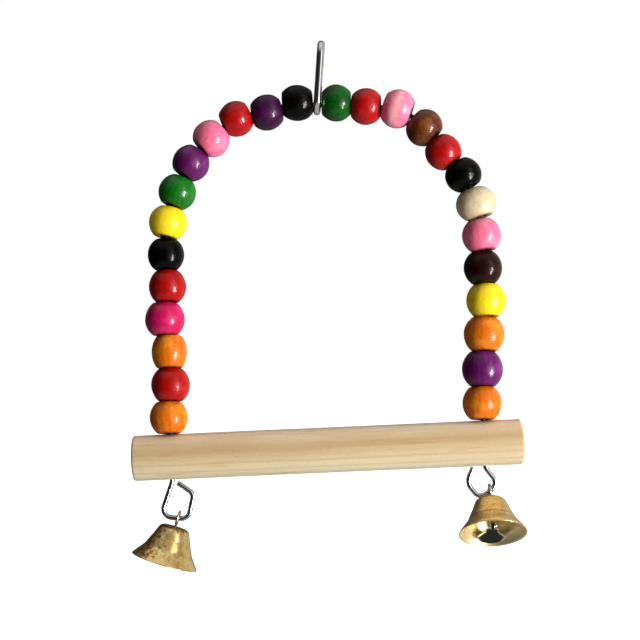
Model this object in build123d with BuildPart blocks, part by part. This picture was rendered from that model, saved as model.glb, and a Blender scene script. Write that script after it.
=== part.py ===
from build123d import *
import os
from math import sin, cos, acos, radians, pi

# Bird swing: a wooden perch hung in an arch of bent wire strung with wooden
# beads, a wire hook on top of the arch and a brass bell under each end.
# Millimetres, +Z up, X along the perch, the front of the swing looks to -Y.
# Origin: centre of the hook's top bend, where a cage bar carries the swing.

os.makedirs("parts", exist_ok=True)

# ---------------------------------------------------------------- dimensions
# Perch: one round dowel with two drilled holes for the wire.
perch_diameter = 14.7
perch_x_left = -66.17
perch_x_right = 59.88
perch_axis_z = -127.49
perch_end_round = 0.7
perch_hole_diameter = 2.0

# Arch: one steel wire, from the tip of the left eye to the tip of the right eye.
wire_diameter = 1.6
hole_x_left = -53.97
hole_x_right = 47.73

left_eye_points = [(-52.42, -136.00), (-47.27, -139.80), (-49.42, -147.95), (-58.32, -146.70), (hole_x_left, -135.40)]
left_eye_radii = [2.4, 2.6, 2.8, 6.0]
arch_points = [
    (hole_x_left, -118.20), (-52.82, -53.51), (-46.33, -35.76), (-32.89, -19.55),
    (-10.32, -14.75), (4.10, -15.80), (27.86, -17.85), (38.02, -31.30),
    (48.78, -46.07), (50.47, -73.92), (hole_x_right, -117.20),
]
arch_radii = [879.0, 52.9, 51.5, 28.5, 40.7, 470.0, 17.8, 918.0, 29.4, 210.0, 262.0]
right_eye_points = [(hole_x_right, -135.50), (51.28, -140.40), (49.26, -142.95), (45.40, -145.35), (41.35, -140.10), (43.65, -135.50)]
right_eye_radii = [4.0, 2.4, 3.0, 2.6, 4.5]

# Hanger hook: an oblong of thicker wire, open at the back, leaning with the wire it holds.
hook_wire_diameter = 2.4
hook_bend_radius = 4.2           # wire's centre line
hook_lean = 6.2                  # degrees towards +X
hook_drop = 17.52                # top bend centre to the lowest point of the centre line
hook_lip = 3.0                   # how far the top bend's free end comes down
hook_tail = 8.0                  # how far below the top centre the back leg ends

# Beads: (name, x, z, axis angle in the XZ plane, cant to the back, diameter, length, flat end as a share of the diameter)
# The bores are wide for the wire, so the beads sit a little canted on it.
bead_bore = 4.2
bead_edge_round = 0.9
bead_bore_chamfer = 0.3
beads = [
    ("bead_left_01", -54.31, -114.75, 89.3, 9.5, 12.30, 10.14, 0.60),
    ("bead_left_02", -53.27, -104.17, 89.0, 10.0, 12.46, 10.43, 0.60),
    ("bead_left_03", -53.18, -93.45, 89.0, 9.5, 11.33, 10.41, 0.70),
    ("bead_left_04", -54.14, -82.75, 89.0, 8.5, 12.84, 10.35, 0.60),
    ("bead_left_05", -52.86, -72.23, 89.0, 9.5, 11.98, 10.13, 0.60),
    ("bead_left_06", -52.89, -61.92, 87.0, 9.0, 11.74, 9.75, 0.60),
    ("bead_left_07", -51.74, -51.51, 76.5, 9.0, 12.32, 9.57, 0.60),
    ("bead_left_08", -48.31, -41.70, 65.5, 8.5, 12.14, 9.55, 0.60),
    ("bead_left_09", -43.52, -32.46, 53.0, 9.0, 12.02, 9.52, 0.60),
    ("bead_left_10", -36.56, -24.79, 40.5, 8.5, 12.20, 9.39, 0.60),
    ("bead_left_11", -28.17, -18.75, 24.0, 6.5, 11.50, 9.28, 0.60),
    ("bead_left_12", -18.13, -17.12, 11.0, 7.5, 11.66, 9.41, 0.60),
    ("bead_left_13", -8.22, -14.45, 1.0, 3.0, 11.63, 9.57, 0.60),
    ("bead_right_01", 4.52, -15.05, -3.5, -3.0, 11.92, 9.22, 0.60),
    ("bead_right_02", 14.10, -16.56, -6.5, -7.5, 11.85, 9.24, 0.60),
    ("bead_right_03", 24.30, -17.83, -21.5, -5.5, 12.68, 9.33, 0.60),
    ("bead_right_04", 32.72, -24.31, -44.5, -8.0, 12.29, 9.15, 0.60),
    ("bead_right_05", 38.55, -32.47, -53.5, -8.0, 11.70, 9.50, 0.60),
    ("bead_right_06", 44.75, -40.18, -60.5, -8.5, 11.84, 9.10, 0.60),
    ("bead_right_07", 48.41, -49.73, -75.0, -9.0, 12.93, 9.36, 0.60),
    ("bead_right_08", 49.79, -60.11, -85.0, -9.0, 12.57, 9.93, 0.60),
    ("bead_right_09", 49.79, -70.62, -89.3, -9.5, 12.45, 10.06, 0.60),
    ("bead_right_10", 50.34, -81.28, -92.1, -9.5, 12.84, 10.41, 0.60),
    ("bead_right_11", 49.23, -92.23, -93.6, -10.0, 13.16, 10.82, 0.60),
    ("bead_right_12", 48.22, -103.43, -93.6, -10.0, 13.16, 11.09, 0.60),
    ("bead_right_13", 47.57, -114.52, -92.4, -9.5, 12.68, 10.41, 0.60),
]

# Bells: pivot on the eye's lower run, how far the bell leans to -X and to the front.
bell_poses = {
    "left": {"pivot": (-52.72, 0, -147.48), "lean": 19.5, "tip": 4.9, "hinge": (0.9903, 0, -0.1391)},
    "right": {"pivot": (48.78, 0, -143.23), "lean": 2.0, "tip": 32.0, "hinge": (1, 0, 0)},
}
bell_crown_drop = 3.0            # eye wire's centre to the crown's top
bell_wall = 0.5
bell_crown_hole = 1.8
# outer profile, (radius, depth below the crown)
bell_profile = [(3.90, 0.00), (4.80, 0.55), (5.45, 1.80), (6.18, 3.60), (6.92, 5.25), (7.95, 7.45), (9.40, 9.40), (10.35, 10.60), (11.10, 11.70)]

bell_wire_diameter = 0.8
loop_radius = 2.2                # upper loop round the eye wire, centre line
u_half_width = 1.4               # lower loop that carries the clapper
u_depth = 12.2                   # eye wire's centre to the lower loop's bottom

clapper_thickness = 0.6
clapper_eye_inner = 1.1
clapper_eye_outer = 2.1
clapper_eye_length = 1.2
clapper_neck_half_width = 2.1
clapper_half_width = 4.7
clapper_length = 8.6
clapper_rest_angle = 75.0        # it leans towards the back of the bell

# --------------------------------------------------------------------- perch
with BuildPart() as perch:
    with BuildSketch(Plane(origin=(perch_x_left, 0, perch_axis_z), x_dir=(0, 1, 0), z_dir=(1, 0, 0))):
        Circle(perch_diameter / 2)
    extrude(amount=perch_x_right - perch_x_left)
    fillet(perch.edges().filter_by(GeomType.CIRCLE), radius=perch_end_round)
    with BuildSketch(Plane.XY.offset(perch_axis_z - perch_diameter)):
        with Locations((hole_x_left, 0), (hole_x_right, 0)):
            Circle(perch_hole_diameter / 2)
    extrude(amount=2 * perch_diameter, mode=Mode.SUBTRACT)
perch.part.label = "perch"
export_step(perch.part, "parts/perch.step")

# ---------------------------------------------------------------- frame wire
wire_points = [(x, 0, z) for x, z in left_eye_points + arch_points + right_eye_points]
wire_radii = left_eye_radii + arch_radii + right_eye_radii
with BuildPart() as frame_wire:
    with BuildLine() as wire_path:
        FilletPolyline(*wire_points, radius=wire_radii)
    with BuildSketch(Plane(origin=wire_path.line @ 0, z_dir=wire_path.line % 0)):
        Circle(wire_diameter / 2)
    sweep(path=wire_path.line)
frame_wire.part.label = "frame_wire"
export_step(frame_wire.part, "parts/frame_wire.step")
print("frame_wire length", round(wire_path.wires()[0].length, 2), "volume / section*length",
      round(frame_wire.part.volume / (pi * wire_diameter ** 2 / 4 * wire_path.wires()[0].length), 4))

# --------------------------------------------------------------- hanger hook
hook_plane = Plane(origin=(0, 0, 0), x_dir=(0, 1, 0), z_dir=(cos(radians(hook_lean)), 0, -sin(radians(hook_lean))))
hook_outline = [
    (hook_bend_radius, -hook_lip),
    (hook_bend_radius, hook_bend_radius),
    (-hook_bend_radius, hook_bend_radius),
    (-hook_bend_radius, -hook_drop),
    (hook_bend_radius, -hook_drop),
    (hook_bend_radius, -hook_tail),
]
with BuildPart() as hanger_hook:
    with BuildLine() as hook_path:
        FilletPolyline(*[hook_plane.from_local_coords((y, v, 0)) for y, v in hook_outline], radius=hook_bend_radius - 0.04)
    with BuildSketch(Plane(origin=hook_path.line @ 0, z_dir=hook_path.line % 0)):
        Circle(hook_wire_diameter / 2)
    sweep(path=hook_path.line)
    fillet(hanger_hook.faces().filter_by(GeomType.PLANE).edges(), radius=0.6)
hanger_hook.part.label = "hanger_hook"
export_step(hanger_hook.part, "parts/hanger_hook.step")
print("hanger_hook length", round(hook_path.wires()[0].length, 2))

# --------------------------------------------------------------------- beads
for name, x, z, angle, cant, diameter, length, flat in beads:
    bore = Vector(cos(radians(angle)) * cos(radians(cant)), sin(radians(cant)), sin(radians(angle)) * cos(radians(cant)))
    sideways = Vector(sin(radians(angle)), 0, -cos(radians(angle)))
    r, h, b, c = diameter / 2, length / 2, bead_bore / 2, bead_bore_chamfer
    with BuildPart() as bead:
        # profile plane: its X is the radius, its Y runs along the bead's bore
        with BuildSketch(Plane(origin=(x, 0, z), x_dir=sideways, z_dir=sideways.cross(bore))):
            with BuildLine():
                # barrel: part of an ellipse, from flat to flat
                crown, tall = acos(flat), h / sin(acos(flat))
                side = Spline(*[(r * cos(crown * i / 5), tall * sin(crown * i / 5)) for i in range(-5, 6)])
                Polyline(side @ 1, (b + c, h), (b, h - c), (b, c - h), (b + c, -h), side @ 0)
            make_face()
            fillet(vertices().sort_by(Axis.X)[-2:], radius=bead_edge_round)
        revolve(axis=Axis((x, 0, z), bore))
    bead.part.label = name
    export_step(bead.part, "parts/" + name + ".step")

# --------------------------------------------------------------------- bells
def inner_profile(points, wall):
    # the outer points moved inwards by the wall along the local normal
    moved = []
    for i, (r, d) in enumerate(points):
        (r0, d0), (r1, d1) = points[max(i - 1, 0)], points[min(i + 1, len(points) - 1)]
        n = ((r1 - r0) ** 2 + (d1 - d0) ** 2) ** 0.5
        moved.append((r - wall * (d1 - d0) / n, d + wall * (r1 - r0) / n))
    return moved

for side, pose in bell_poses.items():
    lean, tip = radians(pose["lean"]), radians(pose["tip"])
    down = Vector(-sin(lean) * cos(tip), -sin(tip), -cos(lean) * cos(tip))
    up = down * -1
    hinge = Vector(*pose["hinge"])
    across = (hinge - up * hinge.dot(up)).normalized()
    pivot = Vector(*pose["pivot"])
    # bell frame: X along the hinge, Y towards the back, Z up the bell's axis
    bell_frame = Plane(origin=pivot, x_dir=across, z_dir=up)
    back = bell_frame.y_dir

    # shell: a stamped brass cup with a hole in its crown
    outer = [(r, -bell_crown_drop - d) for r, d in bell_profile]
    inner = [(r, -bell_crown_drop - d) for r, d in inner_profile(bell_profile, bell_wall)]
    inner[0] = (inner[0][0], -bell_crown_drop - bell_wall)
    inner[-1] = (bell_profile[-1][0] - bell_wall * 1.05, -bell_crown_drop - bell_profile[-1][1])
    hole = bell_crown_hole / 2
    with BuildPart() as bell:
        with BuildSketch(Plane(origin=pivot, x_dir=across, z_dir=back * -1)):
            with BuildLine():
                Line((hole, -bell_crown_drop), outer[0])
                for i in (0, 2, 4, 6):
                    ThreePointArc(outer[i], outer[i + 1], outer[i + 2])
                Line(outer[-1], inner[-1])
                for i in (8, 6, 4, 2):
                    ThreePointArc(inner[i], inner[i - 1], inner[i - 2])
                Polyline(inner[0], (hole, -bell_crown_drop - bell_wall), (hole, -bell_crown_drop))
            make_face()
        revolve(axis=Axis(pivot, up))
    bell.part.label = "bell_" + side
    export_step(bell.part, "parts/bell_" + side + ".step")

    # hook: one thin wire, over the eye, through the crown and round a lower loop
    hook_points = [
        (0, 1.15, -2.30), (0, loop_radius, -1.10), (0, loop_radius, loop_radius), (0, -loop_radius, loop_radius),
        (0, -loop_radius, -1.10), (0, 0, -2.35), (0, 0, -3.95), (u_half_width, 0, -4.75),
        (u_half_width, 0, -u_depth), (-u_half_width, 0, -u_depth), (-u_half_width, 0, -5.0),
    ]
    hook_radii = [0.9, loop_radius - 0.03, loop_radius - 0.03, 1.1, 0.6, 0.45, 0.6, 0.7, 0.7]
    with BuildPart() as bell_hook:
        with BuildLine() as bell_hook_path:
            FilletPolyline(*[bell_frame.from_local_coords(p) for p in hook_points], radius=hook_radii)
        with BuildSketch(Plane(origin=bell_hook_path.line @ 0, z_dir=bell_hook_path.line % 0)):
            Circle(bell_wire_diameter / 2)
        sweep(path=bell_hook_path.line)
    bell_hook.part.label = "bell_hook_" + side
    export_step(bell_hook.part, "parts/bell_hook_" + side + ".step")
    print("bell_hook_" + side, "length", round(bell_hook_path.wires()[0].length, 2), "volume / section*length",
          round(bell_hook.part.volume / (pi * bell_wire_diameter ** 2 / 4 * bell_hook_path.wires()[0].length), 4))

    # clapper: a stamped steel tongue with its neck rolled round the lower loop
    pin = bell_frame.from_local_coords((0, 0, -u_depth))
    lie = radians(clapper_rest_angle)
    tongue = up * -cos(lie) + back * sin(lie)
    with BuildPart() as clapper:
        with BuildSketch(Plane(origin=pin - across * (clapper_eye_length / 2), x_dir=back, z_dir=across)):
            Circle(clapper_eye_outer / 2)
            Circle(clapper_eye_inner / 2, mode=Mode.SUBTRACT)
        extrude(amount=clapper_eye_length)
        with BuildSketch(Plane(origin=pin, x_dir=across, z_dir=across.cross(tongue))):
            with BuildLine():
                right_edge = [
                    (0.6, 0.82), (0.6, 1.15), (clapper_neck_half_width, 1.45), (clapper_neck_half_width, 2.70),
                    (clapper_half_width, 5.40), (3.6, 7.50),
                ]
                Polyline(*right_edge)
                ThreePointArc((3.6, 7.50), (0, clapper_length), (-3.6, 7.50))
                Polyline(*[(-x, s) for x, s in reversed(right_edge)], (0.6, 0.82))
            make_face()
            fillet(vertices().group_by(Axis.Y)[4], radius=0.5)
        extrude(amount=clapper_thickness / 2, both=True)
    clapper.part.label = "clapper_" + side
    export_step(clapper.part, "parts/clapper_" + side + ".step")
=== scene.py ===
import math
from math import sin, cos, acos, tan, pi, radians
import bpy
from mathutils import Vector, Matrix
from mathutils import noise as mnoise


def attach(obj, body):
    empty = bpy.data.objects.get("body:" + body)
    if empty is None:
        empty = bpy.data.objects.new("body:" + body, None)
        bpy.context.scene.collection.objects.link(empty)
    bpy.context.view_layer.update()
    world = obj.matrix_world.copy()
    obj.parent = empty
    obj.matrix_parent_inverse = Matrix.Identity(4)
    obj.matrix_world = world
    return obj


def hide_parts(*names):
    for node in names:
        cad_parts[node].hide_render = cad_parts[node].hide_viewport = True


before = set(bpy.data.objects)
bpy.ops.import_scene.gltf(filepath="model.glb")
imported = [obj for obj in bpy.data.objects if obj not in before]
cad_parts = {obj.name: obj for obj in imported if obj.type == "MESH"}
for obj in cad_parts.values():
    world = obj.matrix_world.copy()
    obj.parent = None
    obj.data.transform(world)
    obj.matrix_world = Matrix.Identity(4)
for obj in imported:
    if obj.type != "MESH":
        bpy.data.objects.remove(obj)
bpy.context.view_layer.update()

# Bird swing: wooden perch, arch of steel wire strung with wooden beads, chromed hook, two brass bells.
# Metres in the shared frame; the numbers below are millimetres and are scaled by MM.
MM = 0.001


# =====================================================================  mesh helpers
def fillet_path(points, radii, step_deg=5.0, run=3.0):
    """Straight runs joined by tangent arcs, as a list of points."""
    P = [Vector(p) for p in points]
    out = [P[0].copy()]
    for i in range(1, len(P) - 1):
        u = (P[i] - P[i - 1]).normalized()
        v = (P[i + 1] - P[i]).normalized()
        turn = u.angle(v)
        r = radii[i - 1]
        t = r * tan(turn / 2)
        a = P[i] - u * t
        centre = P[i] + (v - u).normalized() * (r / cos(turn / 2))
        axis = u.cross(v).normalized()
        span = a - out[-1]
        n = max(1, int(span.length / run))
        start = out[-1].copy()
        for k in range(1, n + 1):
            out.append(start + span * (k / n))
        m = max(2, int(math.degrees(turn) / step_deg) + 1)
        m = max(m, int(turn * r / run))
        arm = a - centre
        for k in range(1, m + 1):
            out.append(centre + Matrix.Rotation(turn * k / m, 3, axis) @ arm)
    span = P[-1] - out[-1]
    n = max(1, int(span.length / run))
    last = out[-1].copy()
    for k in range(1, n + 1):
        out.append(last + span * (k / n))
    clean = [out[0]]
    for p in out[1:]:
        if (p - clean[-1]).length > 1e-4:
            clean.append(p)
    return clean


def add_object(name, verts, faces, attributes=None, smooth=True):
    mesh = bpy.data.meshes.new(name)
    mesh.from_pydata([tuple(v) for v in verts], [], faces)
    mesh.validate()
    if smooth:
        mesh.polygons.foreach_set("use_smooth", [True] * len(mesh.polygons))
    for key, values in (attributes or {}).items():
        if isinstance(values[0], (int, float)):
            a = mesh.attributes.new(key, "FLOAT", "POINT")
            a.data.foreach_set("value", [float(v) for v in values])
        else:
            a = mesh.attributes.new(key, "FLOAT_VECTOR", "POINT")
            a.data.foreach_set("vector", [float(c) for v in values for c in v])
    mesh.update()
    obj = bpy.data.objects.new(name, mesh)
    bpy.context.scene.collection.objects.link(obj)
    return obj


def tube(name, path, radius, sides=28, end_round=0.25, wobble=0.0, seed=0.0, shade_from_height=None):
    """A round wire along the path with rounded ends. Attribute grain: along, and round the wire, in millimetres; a
    second attribute, set from the height of the wire, masks where the wire is darkened as painted shade."""
    pts = [Vector(p) for p in path]
    tang = []
    for i in range(len(pts)):
        a, b = pts[max(i - 1, 0)], pts[min(i + 1, len(pts) - 1)]
        tang.append((b - a).normalized())
    ref = Vector((0, 1, 0)) if abs(tang[0].y) < 0.9 else Vector((1, 0, 0))
    nrm = (ref - tang[0] * ref.dot(tang[0])).normalized()
    frames, s = [], 0.0
    for i, p in enumerate(pts):
        if i:
            s += (p - pts[i - 1]).length
            nrm = (nrm - tang[i] * nrm.dot(tang[i])).normalized()
        frames.append((p, tang[i], nrm.copy(), tang[i].cross(nrm), s))
    rings = []
    e = min(end_round, radius * 0.98)
    steps = 5
    p, t, n, b, s0 = frames[0]
    for k in range(steps):
        a = (pi / 2) * (1 - k / steps)
        rings.append((p + t * (e - e * sin(a)), n, b, radius - e + e * cos(a), s0))
    body = [f for f in frames if f[4] > e and f[4] < frames[-1][4] - e]
    rings.append((p + t * e, n, b, radius, e))
    for f in body:
        if f[4] > e * 1.05 and f[4] < frames[-1][4] - e * 1.05:
            rings.append((f[0], f[2], f[3], radius, f[4]))
    p, t, n, b, s1 = frames[-1]
    rings.append((p - t * e, n, b, radius, s1 - e))
    for k in range(1, steps + 1):
        a = (pi / 2) * (k / steps)
        rings.append((p - t * (e - e * sin(a)), n, b, radius - e + e * cos(a), s1))
    verts, grain, wear = [], [], []
    for c, n, b, r, s in rings:
        for j in range(sides):
            wear.append(shade_from_height(c.z) if shade_from_height else 0.0)
            a = 2 * pi * j / sides
            d = n * cos(a) + b * sin(a)
            w = wobble * mnoise.noise(Vector((s * 0.35 + seed, cos(a) * 0.7, sin(a) * 0.7))) if wobble else 0.0
            verts.append((c + d * (r + w)) * MM)
            grain.append((s + seed * 7.0, r * cos(a), r * sin(a)))
    faces = []
    for i in range(len(rings) - 1):
        for j in range(sides):
            k = (j + 1) % sides
            faces.append((i * sides + j, i * sides + k, (i + 1) * sides + k, (i + 1) * sides + j))
    for end, ring in ((0, 0), (1, len(rings) - 1)):
        c, n, b, r, s = rings[ring]
        verts.append(c * MM)
        grain.append((s + seed * 7.0, 0.0, 0.0))
        wear.append(0.0)
        mid = len(verts) - 1
        for j in range(sides):
            k = (j + 1) % sides
            a, d = ring * sides + j, ring * sides + k
            faces.append((mid, d, a) if end == 0 else (mid, a, d))
    return add_object(name, verts, faces, {"grain": grain, "wear": wear})


def ring_lathe(name, origin, ex, ey, ez, profile, sides, shift=None, extra=None, offset=(0, 0, 0)):
    """A closed profile of (radius, height) turned about ez. Attribute grain: place in the piece's own frame, in millimetres."""
    verts, grain, more = [], [], []
    o = Vector(origin)
    for i, (r, h) in enumerate(profile):
        for j in range(sides):
            a = 2 * pi * j / sides
            rr, hh = (r, h) if shift is None else shift(i, r, h, a)
            lx, ly = rr * cos(a), rr * sin(a)
            verts.append((o + ex * lx + ey * ly + ez * hh) * MM)
            grain.append((lx + offset[0], ly + offset[1], hh + offset[2]))
            more.append(extra[i] if extra else 0.0)
    n = len(profile)
    faces = []
    for i in range(n):
        k = (i + 1) % n
        for j in range(sides):
            m = (j + 1) % sides
            faces.append((i * sides + j, i * sides + m, k * sides + m, k * sides + j))
    att = {"grain": grain}
    if extra:
        att["wear"] = more
    return add_object(name, verts, faces, att)


def round_corner(a, p, b, r, n=4):
    """Arc that rounds corner p of the planar run a-p-b."""
    a, p, b = Vector((a[0], a[1], 0)), Vector((p[0], p[1], 0)), Vector((b[0], b[1], 0))
    u, v = (p - a).normalized(), (b - p).normalized()
    turn = u.angle(v)
    t = r * tan(turn / 2)
    s, e = p - u * t, p + v * t
    c = p + (v - u).normalized() * (r / cos(turn / 2))
    axis = u.cross(v).normalized()
    arm = s - c
    return [tuple((c + Matrix.Rotation(turn * k / n, 3, axis) @ arm)[:2]) for k in range(n + 1)]


def settle(obj, node, body, material):
    """Puts the piece in place of its CAD node, on its body, with its finish."""
    obj.data.materials.clear()
    obj.data.materials.append(material)
    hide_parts(node)
    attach(obj, body)
    return obj


# =====================================================================  material helpers
def lin(r, g, b):
    """Linear colour of an 8-bit display colour."""
    def f(c):
        c /= 255.0
        return c / 12.92 if c <= 0.04045 else ((c + 0.055) / 1.055) ** 2.4
    return (f(r), f(g), f(b), 1.0)


class Nodes:
    """Short words for building a material's nodes."""
    def __init__(self, name):
        self.mat = bpy.data.materials.new(name)
        self.mat.use_nodes = True
        self.t = self.mat.node_tree
        self.bsdf = self.t.nodes["Principled BSDF"]

    def node(self, kind, **settings):
        n = self.t.nodes.new(kind)
        for k, v in settings.items():
            setattr(n, k, v)
        return n

    def link(self, a, b):
        self.t.links.new(a, b)

    def place(self, key="grain"):
        n = self.node("ShaderNodeAttribute", attribute_name=key, attribute_type="GEOMETRY")
        return n.outputs["Vector"]

    def value(self, key):
        n = self.node("ShaderNodeAttribute", attribute_name=key, attribute_type="GEOMETRY")
        return n.outputs["Fac"]

    def scaled(self, vec, scale, shift=(0, 0, 0)):
        n = self.node("ShaderNodeMapping")
        n.inputs["Scale"].default_value = scale
        n.inputs["Location"].default_value = shift
        self.link(vec, n.inputs["Vector"])
        return n.outputs["Vector"]

    def noise(self, vec, scale, detail=4.0, rough=0.55, distort=0.0):
        n = self.node("ShaderNodeTexNoise")
        n.inputs["Scale"].default_value = scale
        n.inputs["Detail"].default_value = detail
        n.inputs["Roughness"].default_value = rough
        n.inputs["Distortion"].default_value = distort
        self.link(vec, n.inputs["Vector"])
        return n.outputs["Fac"]

    def rings(self, vec, scale, distort, detail, axis="X", kind="RINGS"):
        n = self.node("ShaderNodeTexWave", wave_type=kind)
        if kind == "RINGS":
            n.rings_direction = axis
        else:
            n.bands_direction = axis
        n.inputs["Scale"].default_value = scale
        n.inputs["Distortion"].default_value = distort
        n.inputs["Detail"].default_value = detail
        n.inputs["Detail Scale"].default_value = 1.0
        self.link(vec, n.inputs["Vector"])
        return n.outputs["Fac"]

    def cells(self, vec, scale, random=1.0, feature="F1"):
        n = self.node("ShaderNodeTexVoronoi", feature=feature)
        n.inputs["Scale"].default_value = scale
        n.inputs["Randomness"].default_value = random
        self.link(vec, n.inputs["Vector"])
        return n

    def ramp(self, fac, stops, mode="LINEAR"):
        n = self.node("ShaderNodeValToRGB")
        n.color_ramp.interpolation = mode
        e = n.color_ramp.elements
        while len(e) > 1:
            e.remove(e[-1])
        e[0].position, e[0].color = stops[0]
        for p, c in stops[1:]:
            x = e.new(p)
            x.color = c
        self.link(fac, n.inputs["Fac"])
        return n.outputs["Color"]

    def grey(self, fac, stops, mode="LINEAR"):
        return self.ramp(fac, [(p, (v, v, v, 1.0)) for p, v in stops], mode)

    def mix(self, fac, a, b, blend="MIX"):
        n = self.node("ShaderNodeMix", data_type="RGBA", blend_type=blend)
        for sock, val in ((n.inputs[0], fac), (n.inputs[6], a), (n.inputs[7], b)):
            if isinstance(val, (int, float)):
                sock.default_value = val
            elif isinstance(val, tuple):
                sock.default_value = val
            else:
                self.link(val, sock)
        return n.outputs[2]

    def math(self, op, a, b=0.0):
        n = self.node("ShaderNodeMath", operation=op)
        for sock, val in ((n.inputs[0], a), (n.inputs[1], b)):
            if isinstance(val, (int, float)):
                sock.default_value = val
            else:
                self.link(val, sock)
        return n.outputs[0]

    def bump(self, height, strength, distance, normal=None):
        n = self.node("ShaderNodeBump")
        n.inputs["Strength"].default_value = strength
        n.inputs["Distance"].default_value = distance
        self.link(height, n.inputs["Height"])
        if normal is not None:
            self.link(normal, n.inputs["Normal"])
        return n.outputs["Normal"]

    def set(self, **values):
        for k, v in values.items():
            s = self.bsdf.inputs[k.replace("_", " ")]
            if isinstance(v, (int, float, tuple)):
                s.default_value = v
            else:
                self.link(v, s)


def shade(c, k):
    return (c[0] * k, c[1] * k, c[2] * k, 1.0)


# ---------------------------------------------------------------- dyed and lacquered bead wood
def bead_wood(name, body, deep, pale, grain=0.5, pores=0.35, blotch=0.5, rough=0.36, coat=0.26, veil=0.20, band=None):
    m = Nodes(name)
    g = m.place()
    # fibres run along the bore: long streaks, broken pores, and dye that took unevenly
    fibre = m.noise(m.scaled(g, (1.0, 1.0, 0.10)), 1.9, 5.0, 0.62, 0.4)
    ringy = m.rings(m.scaled(g, (1.0, 0.25, 0.06), (2.0, 0.0, 0.0)), 0.16, 5.0, 2.0, "X", "BANDS")
    cloud = m.noise(g, 0.20, 3.0, 0.55)
    pore = m.noise(m.scaled(g, (1.0, 1.0, 0.16)), 5.2, 2.0, 0.5)
    streak = m.grey(fibre, [(0.36, 0.0), (0.66, 1.0)])
    col = m.mix(m.math("MULTIPLY", streak, grain), body, deep)
    col = m.mix(m.math("MULTIPLY", m.grey(ringy, [(0.35, 0.0), (0.95, 1.0)]), grain * 0.55), col, deep)
    col = m.mix(m.math("MULTIPLY", m.grey(cloud, [(0.48, 0.0), (0.72, 1.0)]), blotch), col, pale)
    dots = m.grey(pore, [(0.62, 0.0), (0.70, 1.0)])
    col = m.mix(m.math("MULTIPLY", dots, pores), col, shade(deep, 0.45))
    if band:
        # a band across the grain where the dye hardly took: its place along the bore, and its tint
        along = m.node("ShaderNodeSeparateXYZ")
        m.link(g, along.inputs[0])
        sway = m.math("MULTIPLY", m.math("SUBTRACT", m.noise(g, 0.35, 4.0, 0.6), 0.5), 2.4)
        away = m.math("ABSOLUTE", m.math("ADD", m.math("SUBTRACT", along.outputs["Z"], band[0]), sway))
        col = m.mix(m.grey(m.math("MULTIPLY", away, 0.25), [(0.04, 0.55), (0.52, 0.0)]), col, band[1])
    # painted shade: darker towards the drilled ends and in the bore, standing in for the shade in the joints between
    # beads
    col = m.mix(m.math("MULTIPLY", m.value("wear"), 0.75), col, shade(deep, 0.36))
    m.set(Base_Color=col, Roughness=m.grey(fibre, [(0.30, rough - 0.05), (0.75, rough + 0.12)]))
    m.set(Coat_Weight=coat, Coat_Roughness=0.11, Coat_IOR=1.5, Specular_IOR_Level=veil)
    ripple = m.noise(g, 0.85, 2.0, 0.5)
    height = m.mix(0.35, m.grey(fibre, [(0.2, 0.0), (0.8, 1.0)]), m.grey(pore, [(0.60, 1.0), (0.72, 0.0)]))
    n1 = m.bump(ripple, 0.42, 0.00022)
    n2 = m.bump(height, 0.16, 0.00006, n1)
    m.link(n2, m.bsdf.inputs["Normal"])
    m.link(n1, m.bsdf.inputs["Coat Normal"])
    return m.mat


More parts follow.
